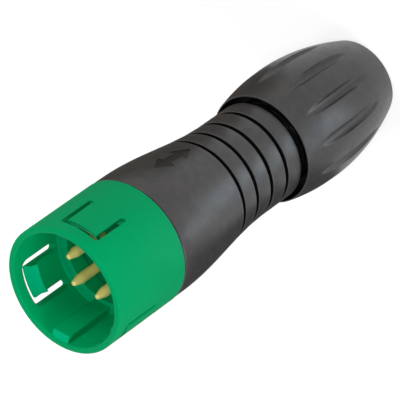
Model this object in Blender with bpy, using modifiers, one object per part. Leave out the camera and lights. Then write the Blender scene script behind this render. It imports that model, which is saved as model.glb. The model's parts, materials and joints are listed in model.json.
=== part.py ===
# Miniature circular cable connector: a plug with five pins, snap-in latches and a screw-down cable clamp.
# Metres, +Z up. It stands on the rear face of its clamping nut with the mating mouth upwards, and the
# origin is the centre of that rear face. Depths are measured down from the mouth, heights up from the origin.

import bpy
import bmesh
from math import cos, pi, radians, sin, tan
from mathutils import Matrix, Vector

MM = 0.001

# Clearances
SEAT_GAP = 0.05 * MM           # axial gap where one piece seats on another
SLIDING_CLEARANCE = 0.05 * MM  # radial clearance of a piece that slides into a bore
THREAD_CLEARANCE = 0.12 * MM   # radial clearance between the nut's thread and the housing's

# Latch sleeve, the coloured front of the plug
SLEEVE_RADIUS = 7.75 * MM
SLEEVE_WALL = 0.78 * MM
SLEEVE_LENGTH = 11.7 * MM      # from the mouth to the shoulder that meets the housing
SOCKET_DEPTH = 7.5 * MM        # from the mouth to the ledge
LEDGE_WIDTH = 1.37 * MM
LEDGE_EDGE = 0.15 * MM
RECESS_DEPTH = 2.1 * MM        # from the ledge to the insert's face
MOUTH_EDGE = 0.14 * MM
SPIGOT_WALL = 0.9 * MM         # the sleeve's tail, inside the housing
SPIGOT_LENGTH = 4.9 * MM
SPIGOT_EDGE = 0.15 * MM

# Three latch tongues, each freed by a U-shaped slot, with a catch inside its free end
TONGUE_COUNT = 3
TONGUE_WIDTH = 4.5 * MM        # between the middles of the slot's two arms
TONGUE_SETBACK = 1.95 * MM     # from the mouth to the middle of the slot's cross stretch
TONGUE_ROOT_INSET = 0.6 * MM   # from the slot's end to the ledge
SLOT_WIDTH = 0.65 * MM
SLOT_CORNER = 0.6 * MM
CATCH_HEIGHT = 0.6 * MM
CATCH_RAMP = 0.8 * MM
CATCH_LAND = 0.25 * MM
CATCH_SETBACK = 0.1 * MM       # from the slot to the foot of the ramp

# Key rib inside the socket, opposite the first tongue
KEY_WIDTH = 2.2 * MM
KEY_HEIGHT = 0.87 * MM
KEY_SETBACK = 0.15 * MM        # from the mouth to the head of the key's ramp
KEY_RAMP = 0.25 * MM           # from the head of the ramp to the crest
KEY_EDGE = 0.15 * MM

# Contact insert and the spacer that holds it forward
INSERT_SHOULDER = 0.35 * MM    # how far the recess's rim overlaps the insert
INSERT_THICKNESS = 3.6 * MM
INSERT_EDGE = 0.15 * MM
SPACER_WALL = 0.75 * MM
SPACER_SLIT = 0.8 * MM

# Turned contact pins with solder cups
PIN_COUNT = 5
PIN_RADIUS = 0.62 * MM
PIN_CIRCLE_RADIUS = 2.83 * MM
PIN_SETBACK = 4.0 * MM         # from the mouth to the tips
PIN_TAPER = 1.1 * MM
PIN_TIP_RADIUS = 0.3 * MM
COLLAR_HEIGHT = 0.3 * MM
COLLAR_LENGTH = 1.2 * MM
CUP_STEP = 0.22 * MM           # how much wider the cup is than the pin, on the radius
CUP_LENGTH = 3.4 * MM
CUP_WALL = 0.22 * MM
CUP_DEPTH = 2.6 * MM
CUP_SCOOP = 2.1 * MM           # length of the opening cut in the cup's outer side

# Sealing ring between the sleeve's tail and the housing
RING_SECTION = 0.84 * MM

# Housing: a barrel that narrows to a grooved neck and ends in a threaded tail
HOUSING_INSET = 0.05 * MM      # how far the barrel lies inside the sleeve's outside
HOUSING_LENGTH = 23.35 * MM    # from its front to the end of the neck
HOUSING_EDGE = 0.12 * MM
SHOULDER_START = 1.8 * MM      # from its front to where it starts to narrow
SHOULDER_LENGTH = 16.7 * MM
NECK_DROP = 1.58 * MM          # from the barrel's outside down to the neck's
NECK_WALL = 1.42 * MM
GROOVE_COUNT = 4
GROOVE_PITCH = 2.85 * MM
GROOVE_INSET = 2.55 * MM       # from the end of the neck to the last groove's middle
GROOVE_WIDTH = 0.5 * MM
GROOVE_DEPTH = 0.55 * MM
BAND_EDGE = 0.14 * MM
WIRE_CONE_LENGTH = 4.5 * MM    # where the wire space widens, just behind the spacer
WIRE_CONE_INSET = 4.5 * MM     # from the step to that cone's wide end
TAIL_STEP = 0.92 * MM          # from the neck's outside down to the tail's thread
TAIL_WALL = 0.95 * MM
TAIL_EDGE = 0.15 * MM
STOP_HEIGHT = 0.55 * MM        # ring inside the tail that the cable seal bears on
STOP_THICKNESS = 1.0 * MM
STOP_CHAMFER = 0.7 * MM

# Cable seal and clamp cage
SEAL_LENGTH = 5.4 * MM
SEAL_WALL = 0.8 * MM
SEAL_EDGE = 0.15 * MM
SEAL_RIB_COUNT = 3
SEAL_RIB_HEIGHT = 0.2 * MM
SEAL_RIB_WIDTH = 0.9 * MM
CAGE_WALL = 0.85 * MM
CAGE_RING_LENGTH = 3.6 * MM
CAGE_EDGE = 0.15 * MM
CAGE_FLANGE_INSET = 0.25 * MM  # how far the flange lies inside the tail's thread
CAGE_FLANGE_THICKNESS = 0.7 * MM
FINGER_COUNT = 6
FINGER_LENGTH = 4.4 * MM
FINGER_ROOT = 1.25 * MM        # thickness of a finger at its root and at its tip
FINGER_END = 0.6 * MM
FINGER_GAP = 0.35 * MM         # from the fingers' tips to the nut's rear wall
FINGER_SLIT = 0.7 * MM
FINGER_SLIT_REACH = 1.2 * MM   # how far a slit runs on into the ring

# Clamping nut: a barrel with twelve scooped flutes
NUT_LENGTH = 18.8 * MM
NUT_BULGE = 0.75 * MM          # from the lip out to the widest point
NUT_WIDEST = 12.1 * MM         # height of the widest point
NUT_LIP_OVERHANG = 0.63 * MM   # how far the lip stands out past the neck
NUT_LIP_THICKNESS = 0.28 * MM
NUT_LIP_EDGE = 0.14 * MM
NUT_POCKET_DEPTH = 2.5 * MM
NUT_FLOOR = 2.0 * MM           # thickness of the rear wall
NUT_END_RIM = 1.57 * MM        # from the cable hole to the barrel's outline at the rear
NUT_END_EDGE = 0.7 * MM
NECK_GAP = 0.6 * MM            # from the end of the neck to the nut, when it is done up
CABLE_HOLE_CLEARANCE = 0.15 * MM
CABLE_HOLE_EDGE = 0.15 * MM
FLUTE_COUNT = 12
FLUTE_CUTTER_RADIUS = 0.9 * MM
FLUTE_DEPTH = 0.46 * MM
FLUTE_HEIGHT = 11.1 * MM       # height of the deepest point
FLUTE_TILT = radians(2.6)
FLUTE_PHASE = radians(-6)      # where the nut's flutes happen to lie when it is done up

# Heights inside the nut, upwards from its rear face: cage, seal and stop ring
FINGER_TIP = NUT_FLOOR + FINGER_GAP
CAGE_FLANGE_BASE = FINGER_TIP + FINGER_LENGTH
CAGE_FLANGE_TOP = CAGE_FLANGE_BASE + CAGE_FLANGE_THICKNESS
TAIL_END = CAGE_FLANGE_TOP + SEAT_GAP
CAGE_TOP = CAGE_FLANGE_TOP + CAGE_RING_LENGTH
SEAL_BASE = CAGE_TOP + SEAT_GAP
SEAL_TOP = SEAL_BASE + SEAL_LENGTH
STOP_BASE = SEAL_TOP + SEAT_GAP
STOP_TOP = STOP_BASE + STOP_THICKNESS

# Heights above the nut, up to the mouth
NUT_FRONT = NUT_LENGTH
NECK_END = NUT_FRONT + NECK_GAP
HOUSING_FRONT = NECK_END + HOUSING_LENGTH
SLEEVE_SHOULDER = HOUSING_FRONT + SEAT_GAP
MOUTH = SLEEVE_SHOULDER + SLEEVE_LENGTH
LEDGE = MOUTH - SOCKET_DEPTH
RECESS_FLOOR = LEDGE - RECESS_DEPTH
INSERT_FACE = RECESS_FLOOR - SEAT_GAP
INSERT_REAR = INSERT_FACE - INSERT_THICKNESS
SPIGOT_END = SLEEVE_SHOULDER - SPIGOT_LENGTH
HOUSING_STEP = SPIGOT_END - RING_SECTION - 2 * SEAT_GAP

# Radii of the front, inwards from the sleeve's outside and then out again
SOCKET_RADIUS = SLEEVE_RADIUS - SLEEVE_WALL
RECESS_RADIUS = SOCKET_RADIUS - LEDGE_WIDTH
INSERT_RADIUS = RECESS_RADIUS + INSERT_SHOULDER
INSERT_BORE_RADIUS = INSERT_RADIUS + SLIDING_CLEARANCE
SPACER_BORE_RADIUS = INSERT_RADIUS - SPACER_WALL
SPIGOT_RADIUS = INSERT_BORE_RADIUS + SPIGOT_WALL
HOUSING_BORE_RADIUS = SPIGOT_RADIUS + SLIDING_CLEARANCE
HOUSING_RADIUS = SLEEVE_RADIUS - HOUSING_INSET
COLLAR_RADIUS = PIN_RADIUS + COLLAR_HEIGHT
CUP_RADIUS = PIN_RADIUS + CUP_STEP
TONGUE_LENGTH = SOCKET_DEPTH - TONGUE_SETBACK - TONGUE_ROOT_INSET

# Radii of the rear, inwards from the neck
NECK_RADIUS = HOUSING_RADIUS - NECK_DROP
WIRE_BORE_RADIUS = NECK_RADIUS - NECK_WALL
TAIL_RADIUS = NECK_RADIUS - TAIL_STEP
TAIL_BORE_RADIUS = TAIL_RADIUS - TAIL_WALL
STOP_RADIUS = TAIL_BORE_RADIUS - STOP_HEIGHT
SEAL_RADIUS = TAIL_BORE_RADIUS - SLIDING_CLEARANCE
SEAL_BORE_RADIUS = SEAL_RADIUS - SEAL_WALL
CAGE_RADIUS = TAIL_BORE_RADIUS - SLIDING_CLEARANCE
CAGE_BORE_RADIUS = CAGE_RADIUS - CAGE_WALL
CAGE_FLANGE_RADIUS = TAIL_RADIUS - CAGE_FLANGE_INSET
FINGER_ROOT_RADIUS = CAGE_BORE_RADIUS + FINGER_ROOT
FINGER_TIP_RADIUS = CAGE_BORE_RADIUS + FINGER_END
NUT_THREAD_RADIUS = TAIL_RADIUS + THREAD_CLEARANCE
NUT_LIP_RADIUS = NECK_RADIUS + NUT_LIP_OVERHANG
NUT_RADIUS = NUT_LIP_RADIUS + NUT_BULGE
CABLE_HOLE_RADIUS = CAGE_BORE_RADIUS + CABLE_HOLE_CLEARANCE
NUT_END_RADIUS = CABLE_HOLE_RADIUS + NUT_END_RIM

# Directions around the axis: the first tongue faces -Y, and the key is opposite
FIRST_TONGUE = radians(-90)
KEY_DIRECTION = FIRST_TONGUE + pi
FIRST_PIN = FIRST_TONGUE

# How finely the round forms are made
TURN_STEPS = 48
INNER_STEPS = 30
PIN_STEPS = 14
RING_STEPS = 8
FLUTE_STEPS = 20
CATCH_STEPS = 4
SHOULDER_STEPS = 6
BARREL_STEPS = 10
ARC_STEPS = 2
FILLET_SHARE = 0.45            # the most of an edge that one fillet may take
SMOOTH_ANGLE = radians(35)
MERGE_DISTANCE = 1e-6

for leftover in list(bpy.data.objects):
    bpy.data.objects.remove(leftover, do_unlink=True)


def new_collection(name):
    collection = bpy.data.collections.new(name)
    bpy.context.scene.collection.children.link(collection)
    return collection


PARTS = new_collection("miniature_circular_connector")
CUTTERS = new_collection("cutters")


def new_material(name, colour, roughness, metallic=0.0):
    material = bpy.data.materials.new(name)
    material.use_nodes = True
    shader = material.node_tree.nodes["Principled BSDF"]
    shader.inputs["Base Color"].default_value = (*colour, 1)
    shader.inputs["Roughness"].default_value = roughness
    shader.inputs["Metallic"].default_value = metallic
    material.diffuse_color = (*colour, 1)
    return material


GREEN_PLASTIC = new_material("green_plastic", (0.0, 0.36, 0.13), 0.38)
INSERT_PLASTIC = new_material("insert_plastic", (0.0, 0.27, 0.12), 0.45)
BLACK_PLASTIC = new_material("black_plastic", (0.075, 0.07, 0.068), 0.42)
CLAMP_PLASTIC = new_material("clamp_plastic", (0.03, 0.03, 0.03), 0.5)
GOLD_PLATING = new_material("gold_plating", (0.83, 0.62, 0.22), 0.25, 1.0)
SEAL_RUBBER = new_material("seal_rubber", (0.02, 0.02, 0.02), 0.75)


def on_axis(angle, radius, height):
    """The frame of a feature on the side: X runs around, Y up and Z outwards."""
    outward = Vector((cos(angle), sin(angle), 0))
    around = Vector((-sin(angle), cos(angle), 0))
    frame = Matrix((around, Vector((0, 0, 1)), outward)).transposed().to_4x4()
    frame.translation = outward * radius + Vector((0, 0, height))
    return frame


def rounded(corners, steps=ARC_STEPS):
    """Outline points from corners (x, y, fillet); a fillet never takes more than its edges have."""
    points = []
    for index, (x, y, fillet) in enumerate(corners):
        here = Vector((x, y))
        if not fillet:
            points.append((x, y))
            continue
        before = Vector(corners[index - 1][:2]) - here
        after = Vector(corners[(index + 1) % len(corners)][:2]) - here
        half_angle = before.angle(after) / 2
        reach = min(fillet / tan(half_angle), FILLET_SHARE * before.length, FILLET_SHARE * after.length)
        middle = (before.normalized() + after.normalized()).normalized()
        centre = here + middle * reach / cos(half_angle)
        spoke = here + before.normalized() * reach - centre
        last = here + after.normalized() * reach - centre
        turn = Matrix.Rotation(-spoke.angle_signed(last) / steps, 2)
        for _ in range(steps + 1):
            points.append(tuple(centre + spoke))
            spoke = turn @ spoke
    return points


def new_object(name, mesh, collection):
    piece = bpy.data.objects.new(name, mesh)
    collection.objects.link(piece)
    if collection == CUTTERS:
        piece.hide_render = True
        piece.display_type = 'WIRE'
    return piece


def turned(name, outline, steps, collection=PARTS, closed=True):
    """A solid turned about Z from (radius, height) points that run down its outer side."""
    bm = bmesh.new()
    points = [bm.verts.new((radius, 0, height)) for radius, height in outline]
    for start, end in zip(points, points[1:]):
        bm.edges.new((start, end))
    if closed:
        bm.edges.new((points[-1], points[0]))
    mesh = bpy.data.meshes.new(name)
    bm.to_mesh(mesh)
    bm.free()
    piece = new_object(name, mesh, collection)
    screw = piece.modifiers.new("turn", 'SCREW')
    screw.steps = steps
    screw.render_steps = steps
    screw.use_merge_vertices = True
    screw.merge_threshold = MERGE_DISTANCE
    return piece


def prism(name, outline, depth, frame):
    """A cutter or a rib: a flat outline with its thickness, set in a frame."""
    curve = bpy.data.curves.new(name, 'CURVE')
    curve.dimensions = '2D'
    curve.fill_mode = 'BOTH'
    curve.extrude = depth / 2
    spline = curve.splines.new('POLY')
    spline.points.add(len(outline) - 1)
    for point, (x, y) in zip(spline.points, outline):
        point.co = (x, y, 0, 1)
    spline.use_cyclic_u = True
    flat = bpy.data.objects.new(name, curve)
    CUTTERS.objects.link(flat)
    mesh = bpy.data.meshes.new_from_object(flat.evaluated_get(bpy.context.evaluated_depsgraph_get()))
    bpy.data.objects.remove(flat)
    bm = bmesh.new()
    bm.from_mesh(mesh)
    bmesh.ops.remove_doubles(bm, verts=bm.verts, dist=MERGE_DISTANCE)
    bmesh.ops.recalc_face_normals(bm, faces=bm.faces)
    bm.to_mesh(mesh)
    bm.free()
    piece = new_object(name, mesh, CUTTERS)
    piece.matrix_world = frame
    return piece


def rod(name, radius, length, frame, steps):
    """A cylinder along the frame's Z, for a flute."""
    bm = bmesh.new()
    bmesh.ops.create_cone(bm, cap_ends=True, segments=steps, radius1=radius, radius2=radius, depth=length)
    mesh = bpy.data.meshes.new(name)
    bm.to_mesh(mesh)
    bm.free()
    piece = new_object(name, mesh, CUTTERS)
    piece.matrix_world = frame
    return piece


def combine(piece, tool, operation='DIFFERENCE'):
    boolean = piece.modifiers.new(tool.name, 'BOOLEAN')
    boolean.operation = operation
    boolean.solver = 'EXACT'
    boolean.object = tool


def settle(piece, material):
    """Make the modelled shape the object's own mesh, smooth on its round faces."""
    bpy.context.view_layer.update()
    mesh = bpy.data.meshes.new_from_object(piece.evaluated_get(bpy.context.evaluated_depsgraph_get()))
    mesh.name = piece.name
    piece.modifiers.clear()
    piece.data = mesh
    mesh.shade_smooth()
    mesh.set_sharp_from_angle(angle=SMOOTH_ANGLE)
    mesh.materials.clear()
    mesh.materials.append(material)
    return piece


def tongue_slot():
    """The U-shaped slot around a tongue, its corners rounded, as seen from outside."""
    reach = (TONGUE_WIDTH + SLOT_WIDTH) / 2
    inner = (TONGUE_WIDTH - SLOT_WIDTH) / 2
    top = SLOT_WIDTH / 2
    bottom = -TONGUE_LENGTH
    end = SLOT_WIDTH / 2
    return rounded([
        (reach, bottom, end), (reach, top, SLOT_CORNER), (-reach, top, SLOT_CORNER), (-reach, bottom, end),
        (-inner, bottom, end), (-inner, -top, 0), (inner, -top, 0), (inner, bottom, end),
    ])


def catch(name, direction):
    """The ramped ridge across the inside of a tongue, swept around the axis; the slot trims its ends."""
    top = MOUTH - TONGUE_SETBACK - SLOT_WIDTH / 2 - CATCH_SETBACK
    root = (SOCKET_RADIUS + SLEEVE_RADIUS) / 2
    crest = SOCKET_RADIUS - CATCH_HEIGHT
    section = [
        (root, top), (SOCKET_RADIUS, top), (crest, top - CATCH_RAMP),
        (crest, top - CATCH_RAMP - CATCH_LAND), (root, top - CATCH_RAMP - CATCH_LAND),
    ]
    spread = TONGUE_WIDTH / SOCKET_RADIUS
    bm = bmesh.new()
    face = bm.faces.new([bm.verts.new((radius, 0, height)) for radius, height in section])
    bmesh.ops.rotate(bm, verts=bm.verts, cent=(0, 0, 0), matrix=Matrix.Rotation(direction - spread / 2, 3, 'Z'))
    bmesh.ops.spin(bm, geom=[face, *face.edges, *face.verts], cent=(0, 0, 0), axis=(0, 0, 1),
                   angle=spread, steps=CATCH_STEPS, use_duplicate=False)
    bmesh.ops.recalc_face_normals(bm, faces=bm.faces)
    mesh = bpy.data.meshes.new(name)
    bm.to_mesh(mesh)
    bm.free()
    return new_object(name, mesh, CUTTERS)


def key_rib():
    """The key: it stands on the ledge, is rooted half-way into the wall and has a ramp at the mouth."""
    root = (SOCKET_RADIUS + SLEEVE_RADIUS) / 2
    crest = SOCKET_RADIUS - KEY_HEIGHT
    half_height = (root - crest) / 2
    top = MOUTH - KEY_SETBACK
    base = LEDGE - RECESS_DEPTH / 2
    section = rounded([
        (-KEY_WIDTH / 2, half_height, 0), (KEY_WIDTH / 2, half_height, 0),
        (KEY_WIDTH / 2, -half_height, KEY_EDGE), (-KEY_WIDTH / 2, -half_height, KEY_EDGE),
    ])
    frame = (Matrix.Translation((0, 0, (top + base) / 2)) @ Matrix.Rotation(KEY_DIRECTION - pi / 2, 4, 'Z')
             @ Matrix.Translation((0, (root + crest) / 2, 0)))
    rib = prism("key_rib", section, top - base, frame)

    slope = KEY_RAMP / KEY_HEIGHT
    inside = crest - KEY_HEIGHT
    head = top + slope * (root - SOCKET_RADIUS)
    foot = top - slope * (SOCKET_RADIUS - inside)
    upright = Matrix.Rotation(KEY_DIRECTION, 4, 'Z') @ Matrix.Rotation(pi / 2, 4, 'X')
    combine(rib, prism("key_ramp", [(root, head), (inside, foot), (inside, head)], 2 * KEY_WIDTH, upright))
    return rib


def latch_sleeve():
    """The mating sleeve: socket, ledge, latch tongues, key rib and the tail that enters the housing."""
    outline = rounded([
        (SOCKET_RADIUS, MOUTH, MOUTH_EDGE), (SLEEVE_RADIUS, MOUTH, MOUTH_EDGE),
        (SLEEVE_RADIUS, SLEEVE_SHOULDER, HOUSING_EDGE), (SPIGOT_RADIUS, SLEEVE_SHOULDER, 0),
        (SPIGOT_RADIUS, SPIGOT_END, SPIGOT_EDGE), (INSERT_BORE_RADIUS, SPIGOT_END, 0),
        (INSERT_BORE_RADIUS, RECESS_FLOOR, 0), (RECESS_RADIUS, RECESS_FLOOR, 0),
        (RECESS_RADIUS, LEDGE, LEDGE_EDGE), (SOCKET_RADIUS, LEDGE, 0),
    ])
    sleeve = turned("latch_sleeve", outline, TURN_STEPS)
    combine(sleeve, key_rib(), 'UNION')

    # Each slot goes right through the wall and stays clear of the ledge
    wall_middle = (SOCKET_RADIUS + SLEEVE_RADIUS) / 2
    slot_depth = 2 * (SLEEVE_RADIUS - SOCKET_RADIUS) + 2 * CATCH_HEIGHT
    for index in range(TONGUE_COUNT):
        direction = FIRST_TONGUE + index * 2 * pi / TONGUE_COUNT
        combine(sleeve, catch(f"catch_{index + 1}", direction), 'UNION')
        frame = on_axis(direction, wall_middle, MOUTH - TONGUE_SETBACK)
        combine(sleeve, prism(f"tongue_slot_{index + 1}", tongue_slot(), slot_depth, frame))
    return settle(sleeve, GREEN_PLASTIC)


def pin_directions():
    return [FIRST_PIN + index * 2 * pi / PIN_COUNT for index in range(PIN_COUNT)]


def contact_insert():
    """The disc that carries the pins, counterbored from behind for their collars."""
    outline = rounded([
        (0, INSERT_FACE, 0), (INSERT_RADIUS, INSERT_FACE, INSERT_EDGE),
        (INSERT_RADIUS, INSERT_REAR, INSERT_EDGE), (0, INSERT_REAR, 0),
    ])
    insert = turned("contact_insert", outline, INNER_STEPS, closed=False)
    collar_seat = INSERT_REAR + COLLAR_LENGTH
    for index, direction in enumerate(pin_directions()):
        place = Matrix.Rotation(direction, 4, 'Z') @ Matrix.Translation((PIN_CIRCLE_RADIUS, 0, 0))
        hole = turned(f"pin_hole_{index + 1}", [
            (0, INSERT_FACE + COLLAR_LENGTH), (PIN_RADIUS + SLIDING_CLEARANCE, INSERT_FACE + COLLAR_LENGTH),
            (PIN_RADIUS + SLIDING_CLEARANCE, collar_seat), (COLLAR_RADIUS + SLIDING_CLEARANCE, collar_seat),
            (COLLAR_RADIUS + SLIDING_CLEARANCE, INSERT_REAR - COLLAR_LENGTH), (0, INSERT_REAR - COLLAR_LENGTH),
        ], PIN_STEPS, CUTTERS, closed=False)
        hole.matrix_world = place
        combine(insert, hole)
    return settle(insert, INSERT_PLASTIC)


def contact_pin(index, direction):
    """One turned pin: tapered tip, collar in the insert's counterbore and a scooped solder cup."""
    tip = MOUTH - PIN_SETBACK
    collar_top = INSERT_REAR + COLLAR_LENGTH - SEAT_GAP
    collar_base = INSERT_REAR
    cup_end = collar_base - CUP_LENGTH
    cup_bore = CUP_RADIUS - CUP_WALL
    outline = [
        (0, tip), (PIN_TIP_RADIUS, tip), (PIN_RADIUS, tip - PIN_TAPER), (PIN_RADIUS, collar_top),
        (COLLAR_RADIUS, collar_top), (COLLAR_RADIUS, collar_base), (CUP_RADIUS, collar_base),
        (CUP_RADIUS, cup_end), (cup_bore, cup_end), (cup_bore, cup_end + CUP_DEPTH), (0, cup_end + CUP_DEPTH),
    ]
    pin = turned(f"contact_pin_{index + 1}", outline, PIN_STEPS, closed=False)
    pin.matrix_world = Matrix.Rotation(direction, 4, 'Z') @ Matrix.Translation((PIN_CIRCLE_RADIUS, 0, 0))

    # The scoop opens the outer half of the cup for the wire
    outline = [(-CUP_RADIUS, -CUP_SCOOP), (CUP_RADIUS, -CUP_SCOOP), (CUP_RADIUS, CUP_SCOOP),
               (-CUP_RADIUS, CUP_SCOOP)]
    scoop_frame = on_axis(direction, PIN_CIRCLE_RADIUS + CUP_RADIUS, cup_end)
    combine(pin, prism(f"cup_scoop_{index + 1}", outline, CUP_RADIUS, scoop_frame))
    return settle(pin, GOLD_PLATING)


def insert_spacer():
    """The split sleeve behind the insert that the housing presses forward."""
    top = INSERT_REAR - SEAT_GAP
    base = HOUSING_STEP + SEAT_GAP
    outline = [(SPACER_BORE_RADIUS, top), (INSERT_RADIUS, top), (INSERT_RADIUS, base), (SPACER_BORE_RADIUS, base)]
    spacer = turned("insert_spacer", outline, INNER_STEPS)
    half_slit = SPACER_SLIT / 2
    length = top - base
    slit = [(-half_slit, -length), (half_slit, -length), (half_slit, length), (-half_slit, length)]
    middle = INSERT_RADIUS - SPACER_WALL / 2
    frame = on_axis(KEY_DIRECTION, middle, (top + base) / 2)
    combine(spacer, prism("spacer_slit", slit, 2 * SPACER_WALL, frame))
    return settle(spacer, CLAMP_PLASTIC)


def sleeve_seal_ring():
    """The ring pressed between the sleeve's tail and the step in the housing."""
    middle = (INSERT_RADIUS + HOUSING_BORE_RADIUS) / 2
    height = (SPIGOT_END + HOUSING_STEP) / 2
    room = HOUSING_BORE_RADIUS - INSERT_RADIUS - 2 * SLIDING_CLEARANCE
    section_radius = min(RING_SECTION, room) / 2
    circle = [(middle + section_radius * cos(angle), height + section_radius * sin(angle))
              for angle in (-2 * pi * step / RING_STEPS for step in range(RING_STEPS))]
    return settle(turned("sleeve_seal_ring", circle, INNER_STEPS), SEAL_RUBBER)


def housing_radius(height):
    """The barrel's outside: straight, then one smooth half-wave down to the neck."""
    share = (HOUSING_FRONT - height - SHOULDER_START) / SHOULDER_LENGTH
    share = max(0.0, min(1.0, share))
    return NECK_RADIUS + (HOUSING_RADIUS - NECK_RADIUS) * (1 + cos(pi * share)) / 2


def housing():
    """The barrel, grooved neck and threaded tail in one moulding."""
    grooves = [NECK_END + GROOVE_INSET + index * GROOVE_PITCH for index in reversed(range(GROOVE_COUNT))]
    wire_cone_top = HOUSING_STEP - WIRE_CONE_INSET
    corners = [(HOUSING_BORE_RADIUS, HOUSING_FRONT, 0), (HOUSING_RADIUS, HOUSING_FRONT, HOUSING_EDGE)]
    shoulder_top = HOUSING_FRONT - SHOULDER_START
    first_edge = grooves[0] + GROOVE_WIDTH / 2
    for step in range(SHOULDER_STEPS):
        height = shoulder_top + (first_edge - shoulder_top) * step / SHOULDER_STEPS
        corners.append((housing_radius(height), height, 0))
    for groove in grooves:
        upper = groove + GROOVE_WIDTH / 2
        lower = groove - GROOVE_WIDTH / 2
        floor = housing_radius(groove) - GROOVE_DEPTH
        corners += [(housing_radius(upper), upper, BAND_EDGE), (floor, upper, 0), (floor, lower, 0),
                    (housing_radius(lower), lower, BAND_EDGE)]
    corners += [
        (NECK_RADIUS, NECK_END, BAND_EDGE), (TAIL_RADIUS, NECK_END, 0),
        (TAIL_RADIUS, TAIL_END, TAIL_EDGE), (TAIL_BORE_RADIUS, TAIL_END, 0),
        (TAIL_BORE_RADIUS, STOP_BASE, 0), (STOP_RADIUS, STOP_BASE, 0), (STOP_RADIUS, STOP_TOP, 0),
        (WIRE_BORE_RADIUS, STOP_TOP + STOP_CHAMFER, 0),
        (WIRE_BORE_RADIUS, wire_cone_top - WIRE_CONE_LENGTH, 0), (SPACER_BORE_RADIUS, wire_cone_top, 0),
        (SPACER_BORE_RADIUS, HOUSING_STEP, 0), (HOUSING_BORE_RADIUS, HOUSING_STEP, 0),
    ]
    return settle(turned("housing", rounded(corners, steps=1), TURN_STEPS), BLACK_PLASTIC)


def cable_seal():
    """The rubber gland that the clamp squeezes on to the cable, ribbed inside."""
    corners = [(SEAL_BORE_RADIUS, SEAL_TOP, 0), (SEAL_RADIUS, SEAL_TOP, SEAL_EDGE),
               (SEAL_RADIUS, SEAL_BASE, SEAL_EDGE), (SEAL_BORE_RADIUS, SEAL_BASE, 0)]
    pitch = SEAL_LENGTH / (SEAL_RIB_COUNT + 1)
    for index in range(SEAL_RIB_COUNT):
        height = SEAL_BASE + (index + 1) * pitch
        corners += [(SEAL_BORE_RADIUS, height - SEAL_RIB_WIDTH / 2, 0),
                    (SEAL_BORE_RADIUS - SEAL_RIB_HEIGHT, height, 0),
                    (SEAL_BORE_RADIUS, height + SEAL_RIB_WIDTH / 2, 0)]
    return settle(turned("cable_seal", rounded(corners), INNER_STEPS), SEAL_RUBBER)


def clamp_cage():
    """The collet that the nut's cone closes on the cable: a ring, a flange and six fingers."""
    outline = rounded([
        (CAGE_BORE_RADIUS, CAGE_TOP, 0), (CAGE_RADIUS, CAGE_TOP, CAGE_EDGE),
        (CAGE_RADIUS, CAGE_FLANGE_TOP, 0), (CAGE_FLANGE_RADIUS, CAGE_FLANGE_TOP, 0),
        (CAGE_FLANGE_RADIUS, CAGE_FLANGE_BASE, 0), (FINGER_ROOT_RADIUS, CAGE_FLANGE_BASE, 0),
        (FINGER_TIP_RADIUS, FINGER_TIP, CAGE_EDGE), (CAGE_BORE_RADIUS, FINGER_TIP, 0),
    ])
    cage = turned("clamp_cage", outline, INNER_STEPS)
    half_slit = FINGER_SLIT / 2
    slit_top = CAGE_FLANGE_TOP + FINGER_SLIT_REACH
    slit = [(-half_slit, FINGER_TIP - FINGER_LENGTH), (half_slit, FINGER_TIP - FINGER_LENGTH),
            (half_slit, slit_top), (-half_slit, slit_top)]
    for index in range(FINGER_COUNT):
        direction = FIRST_TONGUE + index * 2 * pi / FINGER_COUNT
        frame = on_axis(direction, (CAGE_BORE_RADIUS + CAGE_FLANGE_RADIUS) / 2, 0)
        depth = 2 * (CAGE_FLANGE_RADIUS - CAGE_BORE_RADIUS)
        combine(cage, prism(f"finger_slit_{index + 1}", slit, depth, frame))
    return settle(cage, CLAMP_PLASTIC)


def nut_radius(height):
    """The nut's outside: one parabola up to the lip and another down to the rear."""
    if height > NUT_WIDEST:
        share = (height - NUT_WIDEST) / (NUT_LENGTH - NUT_WIDEST)
        return NUT_RADIUS - (NUT_RADIUS - NUT_LIP_RADIUS) * share ** 2
    share = (NUT_WIDEST - height) / NUT_WIDEST
    return NUT_RADIUS - (NUT_RADIUS - NUT_END_RADIUS) * share ** 2


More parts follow.
